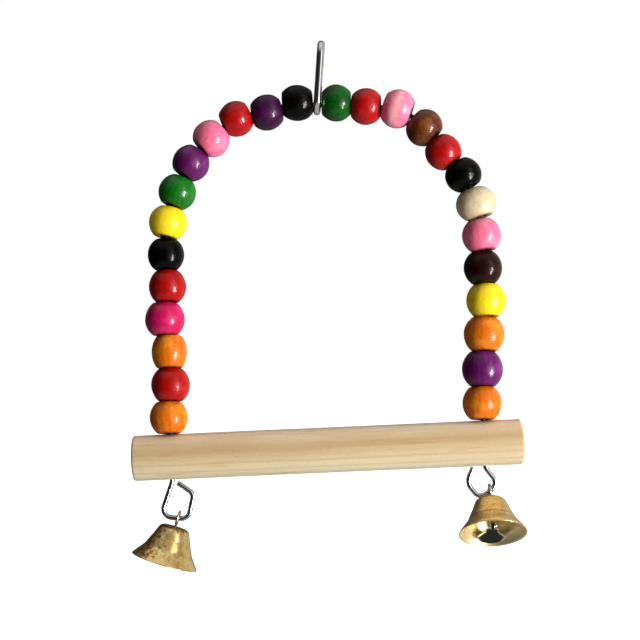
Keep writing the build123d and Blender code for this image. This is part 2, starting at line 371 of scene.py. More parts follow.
# ---------------------------------------------------------------- raw perch wood
def perch_wood(name):
    m = Nodes(name)
    g = m.place()
    # growth rings about a pith outside the dowel give long bands on its side and arcs on its ends
    warp = m.noise(m.scaled(g, (0.020, 0.16, 0.16)), 1.0, 3.0, 0.5)
    off = m.node("ShaderNodeVectorMath", operation="ADD")
    m.link(m.scaled(g, (0.012, 1.0, 1.0), (0.0, 21.0, -13.0)), off.inputs[0])
    push = m.node("ShaderNodeCombineXYZ")
    m.link(m.math("MULTIPLY", m.math("SUBTRACT", warp, 0.5), 7.0), push.inputs["Y"])
    m.link(m.math("MULTIPLY", m.math("SUBTRACT", warp, 0.5), 5.0), push.inputs["Z"])
    m.link(push.outputs[0], off.inputs[1])
    ring = m.rings(off.outputs[0], 0.115, 0.6, 2.0, "X")
    fibre = m.noise(m.scaled(g, (0.045, 1.0, 1.0)), 2.4, 6.0, 0.65, 0.2)
    fine = m.noise(m.scaled(g, (0.10, 1.0, 1.0)), 7.5, 3.0, 0.6)
    broad = m.noise(m.scaled(g, (0.022, 0.14, 0.14), (3.1, 0.0, 0.0)), 1.0, 3.0, 0.5)
    up = m.node("ShaderNodeSeparateXYZ")
    m.link(g, up.inputs[0])
    light, mid, late = lin(238, 209, 164), lin(234, 204, 158), lin(226, 193, 146)
    col = m.ramp(ring, [(0.0, light), (0.55, light), (0.80, mid), (0.97, late)])
    col = m.mix(m.math("MULTIPLY", m.grey(fibre, [(0.40, 0.0), (0.72, 1.0)]), 0.40), col, lin(220, 186, 138))
    col = m.mix(m.math("MULTIPLY", m.grey(broad, [(0.44, 0.0), (0.68, 1.0)]), 0.45), col, lin(226, 188, 146))
    # round the dowel, by height: painted light and shade, lighter with a pink cast on top, darker tan in the middle,
    # greyer and paler below
    girth_light_shade = m.math("ADD", m.math("MULTIPLY", up.outputs["Z"], 0.068), 0.5)
    col = m.mix(1.0, col, m.ramp(girth_light_shade, [(0.06, (0.78, 0.93, 1.12, 1.0)), (0.29, (0.70, 0.80, 0.87, 1.0)), (0.50, (0.60, 0.61, 0.585, 1.0)),
                                         (0.70, (0.60, 0.605, 0.56, 1.0)), (0.92, (0.96, 1.06, 1.24, 1.0))]), "MULTIPLY")
    # brown resin streaks
    resin = m.noise(m.scaled(g, (0.075, 1.0, 1.0), (1.7, 0.0, 4.0)), 0.62, 4.0, 0.6, 0.3)
    col = m.mix(m.math("MULTIPLY", m.grey(resin, [(0.60, 0.0), (0.72, 1.0)]), 0.55), col, lin(168, 124, 80))
    # fine dark pores and a few specks
    pore = m.noise(m.scaled(g, (0.16, 1.0, 1.0)), 5.5, 2.0, 0.5)
    col = m.mix(m.math("MULTIPLY", m.grey(pore, [(0.63, 0.0), (0.71, 1.0)]), 0.45), col, lin(150, 112, 74))
    speck = m.cells(m.scaled(g, (0.35, 1.0, 1.0), (0.4, 1.3, 2.2)), 0.16)
    dot = m.grey(speck.outputs["Distance"], [(0.045, 1.0), (0.085, 0.0)])
    pick = m.node("ShaderNodeSeparateColor")
    m.link(speck.outputs["Color"], pick.inputs[0])
    col = m.mix(m.math("MULTIPLY", dot, m.grey(pick.outputs[0], [(0.55, 0.0), (0.60, 0.85)])), col, lin(92, 62, 38))
    # sawn ends: darker, open grain
    col = m.mix(m.math("MULTIPLY", m.value("wear"), 0.45), col, lin(176, 136, 92))
    m.set(Base_Color=col, Roughness=m.grey(fibre, [(0.3, 0.62), (0.75, 0.80)]), Specular_IOR_Level=0.28)
    h = m.mix(0.45, m.grey(fibre, [(0.25, 1.0), (0.75, 0.0)]), m.grey(fine, [(0.25, 1.0), (0.75, 0.0)]))
    n1 = m.bump(h, 0.35, 0.00012)
    n2 = m.bump(m.grey(pore, [(0.62, 1.0), (0.72, 0.0)]), 0.3, 0.00008, n1)
    m.link(n2, m.bsdf.inputs["Normal"])
    return m.mat


# ---------------------------------------------------------------- plated wire
def plated(name, tint, rough, grime=0.25):
    m = Nodes(name)
    g = m.place()
    draw = m.noise(m.scaled(g, (0.05, 1.0, 1.0)), 9.0, 4.0, 0.6)
    cloud = m.noise(m.scaled(g, (0.35, 1.0, 1.0)), 0.7, 4.0, 0.6)
    nick = m.noise(m.scaled(g, (0.8, 1.0, 1.0)), 3.1, 2.0, 0.5)
    col = m.ramp(cloud, [(0.30, shade(tint, 0.80)), (0.62, tint), (0.85, shade(tint, 1.04))])
    col = m.mix(m.math("MULTIPLY", m.grey(nick, [(0.66, 0.0), (0.74, 1.0)]), grime), col, (0.10, 0.085, 0.07, 1.0))
    # painted shade: the wire turns dull near-black steel where the mask is set, inside the beads, standing in for the
    # shade in the bead joints
    wire_shade = m.value("wear")
    col = m.mix(wire_shade, col, m.ramp(nick, [(0.35, (0.030, 0.026, 0.022, 1.0)), (0.70, (0.075, 0.062, 0.050, 1.0))]))
    gloss = m.grey(draw, [(0.30, rough), (0.75, rough + 0.10)])
    m.set(Base_Color=col, Metallic=1.0, Roughness=m.mix(wire_shade, gloss, (0.62, 0.62, 0.62, 1.0)))
    n1 = m.bump(cloud, 0.10, 0.0001)
    n2 = m.bump(draw, 0.06, 0.00003, n1)
    m.link(n2, m.bsdf.inputs["Normal"])
    return m.mat


# ---------------------------------------------------------------- bell brass
def bell_metal(name, tones, tarnish, left_shade, crown, crease, gloss, grit, seed):
    """Stamped brass: tones clean, mid and warm; tarnish in patches, more of it round the crown; extra tarnish towards
    the left side is painted shade.
    """
    m = Nodes(name)
    g = m.place()
    inside = m.value("wear")
    at = m.node("ShaderNodeSeparateXYZ")
    m.link(g, at.inputs[0])
    patch = m.noise(g, 0.30, 6.0, 0.66, 0.8)
    mottle = m.noise(g, 0.85, 8.0, 0.72, 0.6)
    spun = m.noise(m.scaled(g, (0.12, 0.12, 1.0)), 6.0, 3.0, 0.6)
    scratch = m.noise(m.scaled(g, (0.35, 1.0, 0.22)), 4.6, 2.0, 0.5, 0.2)
    clean, mid, warm = tones
    col = m.ramp(patch, [(0.30, clean), (0.50, mid), (0.66, warm)])
    # painted shade: more tarnish towards the left side, the side away from the light
    left = m.grey(m.math("ADD", m.math("MULTIPLY", at.outputs["X"], -0.05), 0.5 + seed * 0.55), [(0.42, 0.0), (0.80, 1.0)])
    top = m.grey(m.math("ADD", m.math("MULTIPLY", at.outputs["Z"], 0.1), 1.3), [(0.90, 0.0), (0.96, 1.0)])
    rim = m.grey(m.math("ADD", m.math("MULTIPLY", at.outputs["Z"], -0.1), -0.5), [(0.84, 0.0), (0.92, 1.0)])
    tarnish_and_shade = m.math("ADD", mottle, m.math("MULTIPLY", left, left_shade))
    tarnish_and_shade = m.math("ADD", tarnish_and_shade, m.math("MULTIPLY", top, crown))
    tarnish_and_shade = m.math("SUBTRACT", tarnish_and_shade, m.math("MULTIPLY", rim, 0.10))
    dull = m.grey(tarnish_and_shade, [(0.52, 0.0), (0.64, 1.0)])
    outer = m.math("SUBTRACT", 1.0, inside)
    col = m.mix(m.math("MULTIPLY", m.math("MULTIPLY", dull, outer), tarnish), col, lin(158, 104, 44))
    spots = m.grey(tarnish_and_shade, [(0.64, 0.0), (0.72, 1.0)])
    col = m.mix(m.math("MULTIPLY", m.math("MULTIPLY", spots, outer), tarnish), col, lin(76, 42, 12))
    col = m.mix(m.math("MULTIPLY", m.grey(scratch, [(0.66, 0.0), (0.72, 1.0)]), 0.22), col, lin(96, 58, 24))
    # a darker brown band in the hollow where the wall turns out to the flare
    hollow = m.grey(m.math("ADD", m.math("MULTIPLY", at.outputs["Z"], -0.1), m.math("MULTIPLY", m.math("SUBTRACT", mottle, 0.5), 0.10)),
                    [(0.92, 0.0), (1.01, 1.0), (1.10, 1.0), (1.22, 0.0)])
    col = m.mix(m.math("MULTIPLY", m.math("MULTIPLY", hollow, outer), crease), col, lin(122, 76, 26))
    # the inside never sees a hand: paler and satin; browner up in the crown, which is painted shade deep inside the
    # bell
    crown_shade_inside = m.grey(m.math("MULTIPLY", at.outputs["Z"], -0.1), [(0.70, 1.0), (1.42, 0.0)])
    col = m.mix(m.math("MULTIPLY", inside, 0.75), col, m.mix(crown_shade_inside, lin(250, 234, 188), lin(140, 92, 40)))
    m.set(Base_Color=col, Metallic=1.0)
    r = m.mix(m.math("MULTIPLY", dull, outer), (gloss, gloss, gloss, 1.0), (0.35, 0.35, 0.35, 1.0))
    r = m.mix(m.math("MULTIPLY", m.grey(spun, [(0.3, 0.0), (0.7, 1.0)]), 0.25), r, (0.34, 0.34, 0.34, 1.0))
    m.set(Roughness=m.mix(inside, r, (0.40, 0.40, 0.40, 1.0)))
    n1 = m.bump(m.math("MULTIPLY", m.noise(g, 0.42, 3.0, 0.5), outer), 0.24, 0.00030)
    n2 = m.bump(m.math("MULTIPLY", m.mix(0.5, mottle, spun), outer), grit, 0.0001, n1)
    m.link(n2, m.bsdf.inputs["Normal"])
    return m.mat


# ---------------------------------------------------------------- stamped clapper steel
def stamped_steel(name):
    m = Nodes(name)
    g = m.place()
    cut = m.value("wear")
    cloud = m.noise(g, 0.55, 5.0, 0.62)
    line = m.noise(m.scaled(g, (1.0, 0.08, 1.0)), 5.0, 3.0, 0.6)
    # dark steel face, partly painted shade; pale bare steel on the cut edges, partly a painted highlight on the lit
    # edge
    col = m.ramp(cloud, [(0.28, (0.020, 0.015, 0.012, 1.0)), (0.55, (0.040, 0.032, 0.026, 1.0)), (0.78, (0.075, 0.058, 0.044, 1.0))])
    col = m.mix(cut, col, (0.86, 0.80, 0.66, 1.0))
    m.set(Base_Color=col, Metallic=1.0, Roughness=m.grey(line, [(0.3, 0.30), (0.75, 0.48)]))
    m.link(m.bump(line, 0.18, 0.00005), m.bsdf.inputs["Normal"])
    return m.mat


# =====================================================================  finishes
steel = plated("wire_steel", (0.60, 0.60, 0.605, 1.0), 0.10)
chrome = plated("hook_chrome", (0.72, 0.71, 0.70, 1.0), 0.07, 0.15)
brass_left = bell_metal("bell_brass_left", (lin(252, 228, 164), lin(242, 208, 138), lin(228, 186, 112)), 0.75, 0.13, 0.16, 0.10, 0.20, 0.12, 2.0)
brass_right = bell_metal("bell_brass_right", (lin(250, 224, 164), lin(242, 208, 142), lin(228, 188, 116)), 0.35, 0.06, 0.04, 0.75, 0.26, 0.05, 9.0)
clapper_steel = stamped_steel("clapper_steel")
perch_mat = perch_wood("perch_wood")
dyes = {
    "orange": bead_wood("bead_orange", lin(219, 114, 5), lin(174, 63, 1), lin(243, 168, 38), 0.50),
    "red": bead_wood("bead_red", lin(168, 6, 6), lin(124, 1, 3), lin(192, 28, 19), 0.45, veil=0.14),
    "magenta": bead_wood("bead_magenta", lin(193, 11, 86), lin(158, 3, 41), lin(218, 60, 140), 0.45),
    "black": bead_wood("bead_black", lin(5, 4, 3), lin(2, 2, 2), lin(11, 8, 7), 0.4, 0.2, 0.4, 0.26, 0.13, 0.05),
    "yellow": bead_wood("bead_yellow", lin(246, 218, 14), lin(230, 188, 4), lin(250, 236, 72), 0.45),
    "green": bead_wood("bead_green", lin(10, 112, 14), lin(2, 68, 4), lin(34, 140, 30), 0.5),
    "purple": bead_wood("bead_purple", lin(97, 13, 91), lin(54, 3, 48), lin(140, 47, 142), 0.5),
    "purple_deep": bead_wood("bead_purple_deep", lin(56, 4, 52), lin(30, 1, 28), lin(84, 22, 84), 0.5, veil=0.12),
    "green_deep": bead_wood("bead_green_deep", lin(3, 74, 6), lin(1, 42, 2), lin(14, 108, 24), 0.5, veil=0.12),
    "pink": bead_wood("bead_pink", lin(239, 116, 149), lin(222, 70, 107), lin(248, 166, 194), 0.4),
    "pink_band": bead_wood("bead_pink_band", lin(240, 124, 156), lin(224, 80, 116), lin(248, 166, 194), 0.4, band=(15 * 13.7 * 5.3 - 0.3, lin(242, 192, 184))),
    "brown": bead_wood("bead_brown", lin(94, 42, 8), lin(58, 20, 3), lin(160, 102, 46), 0.65, 0.5, veil=0.14),
    "cream": bead_wood("bead_cream", lin(206, 190, 152), lin(184, 160, 118), lin(234, 226, 200), 0.4, 0.3),
    "dark_brown": bead_wood("bead_dark_brown", lin(34, 10, 5), lin(14, 4, 2), lin(60, 24, 15), 0.6, 0.3, 0.5, 0.28, 0.22, 0.08),
}

# =====================================================================  perch
PERCH_R, PERCH_X0, PERCH_X1, PERCH_Z = 7.35, -66.17, 59.88, -127.49
HOLES = (-53.97, 47.73)


def build_perch():
    sides, rnd = 144, 0.7
    prof = [(PERCH_X0, 0.0)]
    for r in (1.2, 2.6, 4.0, 5.2, 6.1):
        prof.append((PERCH_X0, r))
    for k in range(6):
        a = pi / 2 * k / 5
        prof.append((PERCH_X0 + rnd - rnd * cos(a), PERCH_R - rnd + rnd * sin(a)))
    n = 230
    for k in range(1, n):
        prof.append((PERCH_X0 + rnd + (PERCH_X1 - PERCH_X0 - 2 * rnd) * k / n, PERCH_R))
    for k in range(6):
        a = pi / 2 * k / 5
        prof.append((PERCH_X1 - rnd + rnd * sin(a), PERCH_R - rnd + rnd * cos(a)))
    for r in (6.1, 5.2, 4.0, 2.6, 1.2):
        prof.append((PERCH_X1, r))
    prof.append((PERCH_X1, 0.0))
    verts, faces = [], []
    rows = []
    for x, r in prof:
        if r == 0.0:
            verts.append(Vector((x, 0.0, PERCH_Z)))
            rows.append([len(verts) - 1])
            continue
        row = []
        for j in range(sides):
            a = 2 * pi * j / sides
            c, s = cos(a), sin(a)
            # the dowel is a little out of round and its grain stands up slightly
            w = 0.045 * mnoise.noise(Vector((x * 0.018, c * 0.8, s * 0.8 + 4.0)))
            w += 0.018 * mnoise.noise(Vector((x * 0.05, c * PERCH_R * 0.9, s * PERCH_R * 0.9)))
            k = r / PERCH_R
            xx = x
            if r < PERCH_R - 0.69:
                # saw marks across the sawn ends
                xx += 0.03 * sin(s * r * 5.0 + 1.5 * mnoise.noise(Vector((c * r * 0.3, s * r * 0.3, 1.0)))) * (1 if x < 0 else -1) * 0.6
            verts.append(Vector((xx, (r + w * k) * c, PERCH_Z + (r + w * k) * s)))
            row.append(len(verts) - 1)
        rows.append(row)
    for a, b in zip(rows[:-1], rows[1:]):
        if len(a) == 1:
            for j in range(sides):
                faces.append((a[0], b[(j + 1) % sides], b[j]))
        elif len(b) == 1:
            for j in range(sides):
                faces.append((a[j], a[(j + 1) % sides], b[0]))
        else:
            for j in range(sides):
                k = (j + 1) % sides
                faces.append((a[j], a[k], b[k], b[j]))
    obj = add_object("perch_dowel", [v * MM for v in verts], faces)
    # two drilled holes with a slight countersink where the drill broke through
    for hx in HOLES:
        cs, cf, m = [], [], 40
        outline = [(-9.0, 1.32), (-7.30, 1.22), (-6.85, 1.0), (6.85, 1.0), (7.30, 1.22), (9.0, 1.32)]
        for z, r in outline:
            for j in range(m):
                a = 2 * pi * j / m
                cs.append(Vector((hx + r * cos(a), r * sin(a), PERCH_Z + z)) * MM)
        for i in range(len(outline) - 1):
            for j in range(m):
                k = (j + 1) % m
                cf.append((i * m + j, i * m + k, (i + 1) * m + k, (i + 1) * m + j))
        cf.append(tuple(range(m - 1, -1, -1)))
        cf.append(tuple((len(outline) - 1) * m + j for j in range(m)))
        cutter = add_object("drill", cs, cf)
        mod = obj.modifiers.new("hole", "BOOLEAN")
        mod.operation, mod.solver, mod.object = "DIFFERENCE", "EXACT", cutter
        done = bpy.data.meshes.new_from_object(obj.evaluated_get(bpy.context.evaluated_depsgraph_get()))
        obj.modifiers.clear()
        obj.data = done
        bpy.data.objects.remove(cutter)
    mesh = obj.data
    mesh.name = "perch_dowel"
    grain, wear = [], []
    for v in mesh.vertices:
        p = v.co / MM
        grain += [p.x, p.y, p.z - PERCH_Z]
        end = max(0.0, 1.0 - min(p.x - PERCH_X0, PERCH_X1 - p.x) / 0.45)
        rr = math.hypot(p.y, p.z - PERCH_Z)
        wear.append(max(0.0, min(1.0, end)) if rr < PERCH_R - 0.05 else 0.5 * max(0.0, min(1.0, end)))
    a = mesh.attributes.new("grain", "FLOAT_VECTOR", "POINT")
    a.data.foreach_set("vector", grain)
    a = mesh.attributes.new("wear", "FLOAT", "POINT")
    a.data.foreach_set("value", wear)
    mesh.polygons.foreach_set("use_smooth", [True] * len(mesh.polygons))
    mesh.set_sharp_from_angle(angle=radians(50))
    return obj


settle(build_perch(), "perch", "frame", perch_mat)

# =====================================================================  arch wire
left_eye = [(-52.42, -136.00), (-47.27, -139.80), (-49.42, -147.95), (-58.32, -146.70), (-53.97, -135.40)]
left_eye_radii = [2.4, 2.6, 2.8, 6.0]
arch = [
    (-53.97, -118.20), (-52.82, -53.51), (-46.33, -35.76), (-32.89, -19.55), (-10.32, -14.75), (4.10, -15.80),
    (27.86, -17.85), (38.02, -31.30), (48.78, -46.07), (50.47, -73.92), (47.73, -117.20),
]
arch_radii = [879.0, 52.9, 51.5, 28.5, 40.7, 470.0, 17.8, 918.0, 29.4, 210.0, 262.0]
right_eye = [(47.73, -135.50), (51.28, -140.40), (49.26, -142.95), (45.40, -145.35), (41.35, -140.10), (43.78, -135.24)]
right_eye_radii = [4.0, 2.4, 3.0, 2.6, 4.5]
wire_path = fillet_path([(x, 0.0, z) for x, z in left_eye + arch + right_eye], left_eye_radii + arch_radii + right_eye_radii, 4.0, 1.5)
# above the perch, inside the beads, the wire gets the painted shade
settle(tube("arch_wire", wire_path, 0.8, 32, 0.18, 0.012, 3.0, lambda z: max(0.0, min(1.0, (z + 122.5) / 1.5))), "frame_wire", "frame", steel)

# =====================================================================  hanger hook
lean = radians(6.2)
hook_up = Vector((sin(lean), 0.0, cos(lean)))
hook_outline = [(4.2, -3.0), (4.2, 4.2), (-4.2, 4.2), (-4.2, -17.52), (4.2, -17.52), (4.2, -8.0)]
hook_path = fillet_path([Vector((0, y, 0)) + hook_up * v for y, v in hook_outline], [4.16] * 4, 4.0, 0.8)
settle(tube("chrome_hook", hook_path, 1.2, 48, 0.6, 0.010, 5.0), "hanger_hook", "hanger", chrome)

# =====================================================================  beads
# name, place x and z, bore's angle in the arch's plane and its cant to the back, diameter, length, share of flat end, dye
BEADS = [
    ("bead_left_01", -54.31, -114.75, 89.3, 9.5, 12.30, 10.14, 0.60, "orange"),
    ("bead_left_02", -53.27, -104.17, 89.0, 10.0, 12.46, 10.43, 0.60, "red"),
    ("bead_left_03", -53.18, -93.45, 89.0, 9.5, 11.33, 10.41, 0.70, "orange"),
    ("bead_left_04", -54.14, -82.75, 89.0, 8.5, 12.84, 10.35, 0.60, "magenta"),
    ("bead_left_05", -52.86, -72.23, 89.0, 9.5, 11.98, 10.13, 0.60, "red"),
    ("bead_left_06", -52.89, -61.92, 87.0, 9.0, 11.74, 9.75, 0.60, "black"),
    ("bead_left_07", -51.74, -51.51, 76.5, 9.0, 12.32, 9.57, 0.60, "yellow"),
    ("bead_left_08", -48.31, -41.70, 65.5, 8.5, 12.14, 9.55, 0.60, "green"),
    ("bead_left_09", -43.52, -32.46, 53.0, 9.0, 12.02, 9.52, 0.60, "purple"),
    ("bead_left_10", -36.56, -24.79, 40.5, 8.5, 12.20, 9.39, 0.60, "pink"),
    ("bead_left_11", -28.17, -18.75, 24.0, 6.5, 11.50, 9.28, 0.60, "red"),
    ("bead_left_12", -18.13, -17.12, 11.0, 7.5, 11.66, 9.41, 0.60, "purple"),
    ("bead_left_13", -8.12, -14.45, 1.0, 3.0, 11.63, 9.77, 0.60, "black"),
    ("bead_right_01", 4.52, -15.05, -3.5, -3.0, 11.92, 9.22, 0.60, "green"),
    ("bead_right_02", 14.10, -16.56, -6.5, -7.5, 11.85, 9.24, 0.60, "red"),
    ("bead_right_03", 24.30, -17.83, -21.5, -5.5, 12.68, 9.33, 0.60, "pink"),
    ("bead_right_04", 32.72, -24.31, -44.5, -8.0, 12.29, 9.15, 0.60, "brown"),
    ("bead_right_05", 38.55, -32.47, -53.5, -8.0, 11.70, 9.50, 0.60, "red"),
    ("bead_right_06", 44.75, -40.18, -60.5, -8.5, 11.84, 9.10, 0.60, "black"),
    ("bead_right_07", 48.41, -49.73, -75.0, -9.0, 12.93, 9.36, 0.60, "cream"),
    ("bead_right_08", 49.79, -60.11, -85.0, -9.0, 12.57, 9.93, 0.60, "pink"),
    ("bead_right_09", 49.79, -70.62, -89.3, -9.5, 12.45, 10.06, 0.60, "dark_brown"),
    ("bead_right_10", 50.34, -81.28, -92.1, -9.5, 12.84, 10.41, 0.60, "yellow"),
    ("bead_right_11", 49.23, -92.23, -93.6, -10.0, 13.16, 10.82, 0.60, "orange"),
    ("bead_right_12", 48.22, -103.43, -93.6, -10.0, 13.16, 11.09, 0.60, "purple"),
    ("bead_right_13", 47.57, -114.52, -92.4, -9.5, 12.68, 10.41, 0.60, "orange"),
]


def build_bead(index, name, x, z, angle, cant, dia, length, flat):
    # neighbours on the wire lie against each other, so each end reaches 0.055 further than the bare bead
    r, h, b, c, edge = dia / 2, length / 2 + 0.055, 2.1, 0.3, 0.9
    crown = acos(flat)
    tall = h / sin(crown)
    corner = (r * flat, h)
    ahead = (corner[0] + r * sin(crown), corner[1] - tall * cos(crown))
    lip = round_corner((b + c, h), corner, ahead, edge, 6)
    reach = math.hypot(lip[-1][0] - corner[0], lip[-1][1] - corner[1])
    mouth_out = round_corner((b, h - 2), (b, h - c), (b + c, h), 0.10, 2)
    mouth_in = round_corner((b, h - c), (b + c, h), corner, 0.10, 2)
    side = []
    n = 40
    for k in range(n + 1):
        t = crown * (1 - 2 * k / n)
        p = (r * cos(t), tall * sin(t))
        if math.hypot(p[0] - corner[0], abs(p[1]) - corner[1]) > reach + 0.08:
            side.append(p)
    top = mouth_out + mouth_in + [((b + c + lip[0][0]) / 2, h)] + lip
    profile = [(b, -h * 0.45), (b, 0.0), (b, h * 0.45)] + top + side + [(q, -w) for q, w in reversed(top)]
    # mask of the painted shade at the bead's ends and in its bore
    wear = []
    for q, w in profile:
        e = min(1.0, max(0.0, (abs(w) / h - 0.87) / 0.13))
        wear.append(e * e if q > b + 0.2 else 1.0)
    a, k = radians(angle), radians(cant)
    ax = Vector((cos(a) * cos(k), sin(k), sin(a) * cos(k)))
    ex = Vector((sin(a), 0.0, -cos(a)))
    ey = ax.cross(ex)
    seed = index * 13.7

    def shift(i, q, w, a):
        # turned on a hand-fed lathe: faint lumps, a trace of tool rings, ends left true
        fade = max(0.0, 1.0 - (abs(w) / h / 0.92) ** 4) if q > b + 0.5 else 0.0
        p = Vector((q * cos(a) * 0.16 + seed, q * sin(a) * 0.16, w * 0.16))
        d = 0.13 * mnoise.noise(p) + 0.04 * mnoise.noise(p * 3.1)
        d += 0.008 * sin(w * 9.0 + 2.0 * mnoise.noise(p * 2.0))
        return q + d * fade, w

    return ring_lathe(name + "_wood", (x, 0.0, z), ex, ey, ax, profile, 84, shift, wear, (seed * 3.1, seed * 1.7, seed * 5.3))


# beads that took their dye deeper, or less evenly, than the others of their colour
OWN_DYE = {"bead_left_12": "purple_deep", "bead_right_01": "green_deep", "bead_right_03": "pink_band"}
for i, (node, x, z, ang, cant, dia, length, flat, dye) in enumerate(BEADS):
    settle(build_bead(i, node, x, z, ang, cant, dia, length, flat), node, node, dyes[OWN_DYE.get(node, dye)])

# =====================================================================  bells
BELLS = {
    "left": {"pivot": (-52.72, 0.0, -147.48), "lean": 19.5, "tip": 4.9, "hinge": (0.9903, 0.0, -0.1391), "brass": brass_left, "seed": 2.0},
    "right": {"pivot": (48.78, 0.0, -143.23), "lean": 2.0, "tip": 32.0, "hinge": (1.0, 0.0, 0.0), "brass": brass_right, "seed": 9.0},
}
BELL_OUT = [(3.90, 0.00), (4.80, 0.55), (5.45, 1.80), (6.18, 3.60), (6.92, 5.25), (7.95, 7.45), (9.40, 9.40), (10.35, 10.60), (11.10, 11.70)]
CROWN, WALL, HOLE = 3.0, 0.5, 0.9


def smooth_line(points, n):
    """Points along a smooth curve through the given ones."""
    P = [Vector((a, b, 0)) for a, b in points]
    P = [P[0] * 2 - P[1]] + P + [P[-1] * 2 - P[-2]]
    out = []
    for i in range(1, len(P) - 2):
        p0, p1, p2, p3 = P[i - 1:i + 3]
        for k in range(n):
            t = k / n
            q = 0.5 * ((2 * p1) + (p2 - p0) * t + (2 * p0 - 5 * p1 + 4 * p2 - p3) * t * t + (3 * p1 - p0 - 3 * p2 + p3) * t ** 3)
            out.append((q.x, q.y))
    out.append((points[-1][0], points[-1][1]))
    return out


def build_bell(side, frame_axes, seed):
    o, ex, ey, ez = frame_axes
    outer = smooth_line(BELL_OUT, 7)
    inner = []
    for i, (r, d) in enumerate(outer):
        (r0, d0), (r1, d1) = outer[max(i - 1, 0)], outer[min(i + 1, len(outer) - 1)]
        n = math.hypot(r1 - r0, d1 - d0)
        inner.append((r - WALL * (d1 - d0) / n, d + WALL * (r1 - r0) / n))
    inner = [p for p in inner if p[1] > WALL + 0.05 and p[1] < BELL_OUT[-1][1] - 0.2]
    rim_o, rim_i = BELL_OUT[-1], (BELL_OUT[-1][0] - WALL * 1.05, BELL_OUT[-1][1])
    rim = round_corner(outer[-3], rim_o, rim_i, 0.13, 3) + round_corner(rim_o, rim_i, inner[-1], 0.13, 3)
    crown_edge = [(HOLE, 0.08), (HOLE + 0.08, 0.0), (1.6, 0.0), (2.5, 0.0), (3.4, 0.0)]
    under = [(inner[0][0] - 0.25, WALL), (3.0, WALL), (1.8, WALL), (HOLE + 0.08, WALL), (HOLE, WALL - 0.08)]
    prof = crown_edge + outer[:-2] + rim + list(reversed(inner)) + under
    inside = [0.0] * (len(crown_edge) + len(outer) - 2 + len(rim) // 2) + [1.0] * (len(rim) - len(rim) // 2 + len(inner) + len(under))

    def shift(i, r, d, a):
        # stamped thin brass: slightly out of round, with shallow dents
        k = min(1.0, max(0.0, d / 3.0))
        p = Vector((r * cos(a) * 0.22 + seed, r * sin(a) * 0.22, d * 0.22))
        w = 0.07 * mnoise.noise(p) + 0.03 * mnoise.noise(p * 2.7) + 0.05 * cos(2 * a + seed)
        return r + w * k, -CROWN - d

    obj = ring_lathe("bell_" + side + "_shell", o, ex, ey, ez, prof, 150, shift, inside, (seed * 11.0, seed * 5.0, 0.0))
    return obj


def build_clapper(side, pin, across, tongue, face):
    """A stamped tongue: its neck is rolled round the loop, then it runs out flat and flares."""
    t = 0.5
    rows = []          # (centre in the plane of tongue and face, direction of thickness, half width)
    R = 0.80
    # rolled eye: most of a turn round the pin, ending on the tongue
    start, n = radians(-300), 26
    for k in range(n + 1):
        a = start * (1 - k / n)
        # a = 0 is the point beside the pin where the tongue leaves it
        c = (R * sin(a), R * cos(a))
        rows.append((c[0], c[1], Vector((sin(a), cos(a))), 0.60))
    # from the eye the neck steps back to the tongue's middle plane and widens at its shoulders
    for q, off, w in ((0.55, 0.70, 0.60), (0.80, 0.50, 0.60), (1.02, 0.24, 0.60), (1.18, 0.07, 0.62), (1.27, 0.02, 0.95),
                      (1.36, 0.0, 1.50), (1.43, 0.0, 1.90), (1.52, 0.0, 2.06), (1.65, 0.0, 2.10)):
        rows.append((q, off, Vector((0.0, 1.0)), w))
    flare = [(2.20, 2.10), (2.60, 2.12), (2.85, 2.24), (3.20, 2.58), (3.70, 3.06), (4.20, 3.54), (4.70, 4.02), (5.05, 4.36), (5.25, 4.53),
             (5.40, 4.60), (5.58, 4.60), (5.80, 4.50), (6.30, 4.24), (6.80, 3.98), (7.20, 3.76), (7.45, 3.60), (7.65, 3.36), (7.85, 3.02),
             (8.06, 2.58), (8.25, 2.08), (8.42, 1.50), (8.53, 0.94), (8.58, 0.50)]
    for q, w in flare:
        rows.append((q, 0.0, Vector((0.0, 1.0)), w))
    cols = 10
    verts, grain, wear, faces = [], [], [], []
    grid = {0: [], 1: []}
    e = 0.07
    for s, off, d, w in rows:
        for layer, sign in ((0, 1), (1, -1)):
            line = []
            for j in range(cols + 1):
                u = -1 + 2 * j / cols
                edge = j in (0, cols)
                depth = t / 2 - (e if edge else 0.0)
                x = u * w
                q = pin + across * x + tongue * (s + d.x * sign * depth) + face * (off + d.y * sign * depth)
                verts.append(q * MM)
                grain.append((x, s, off))
                wear.append(1.0 if edge else 0.0)
                line.append(len(verts) - 1)
            grid[layer].append(line)
    m = len(rows)
    for i in range(m - 1):
        for j in range(cols):
            a, b = grid[0], grid[1]
            faces.append((a[i][j], a[i][j + 1], a[i + 1][j + 1], a[i + 1][j]))
            faces.append((b[i][j + 1], b[i][j], b[i + 1][j], b[i + 1][j + 1]))
        faces.append((grid[0][i + 1][0], grid[1][i + 1][0], grid[1][i][0], grid[0][i][0]))
        faces.append((grid[0][i][cols], grid[1][i][cols], grid[1][i + 1][cols], grid[0][i + 1][cols]))
    for j in range(cols):
        faces.append((grid[0][0][j + 1], grid[0][0][j], grid[1][0][j], grid[1][0][j + 1]))
        faces.append((grid[0][m - 1][j], grid[0][m - 1][j + 1], grid[1][m - 1][j + 1], grid[1][m - 1][j]))
    obj = add_object("clapper_" + side + "_plate", verts, faces, {"grain": grain, "wear": wear})
    obj.data.set_sharp_from_angle(angle=radians(40))
    return obj


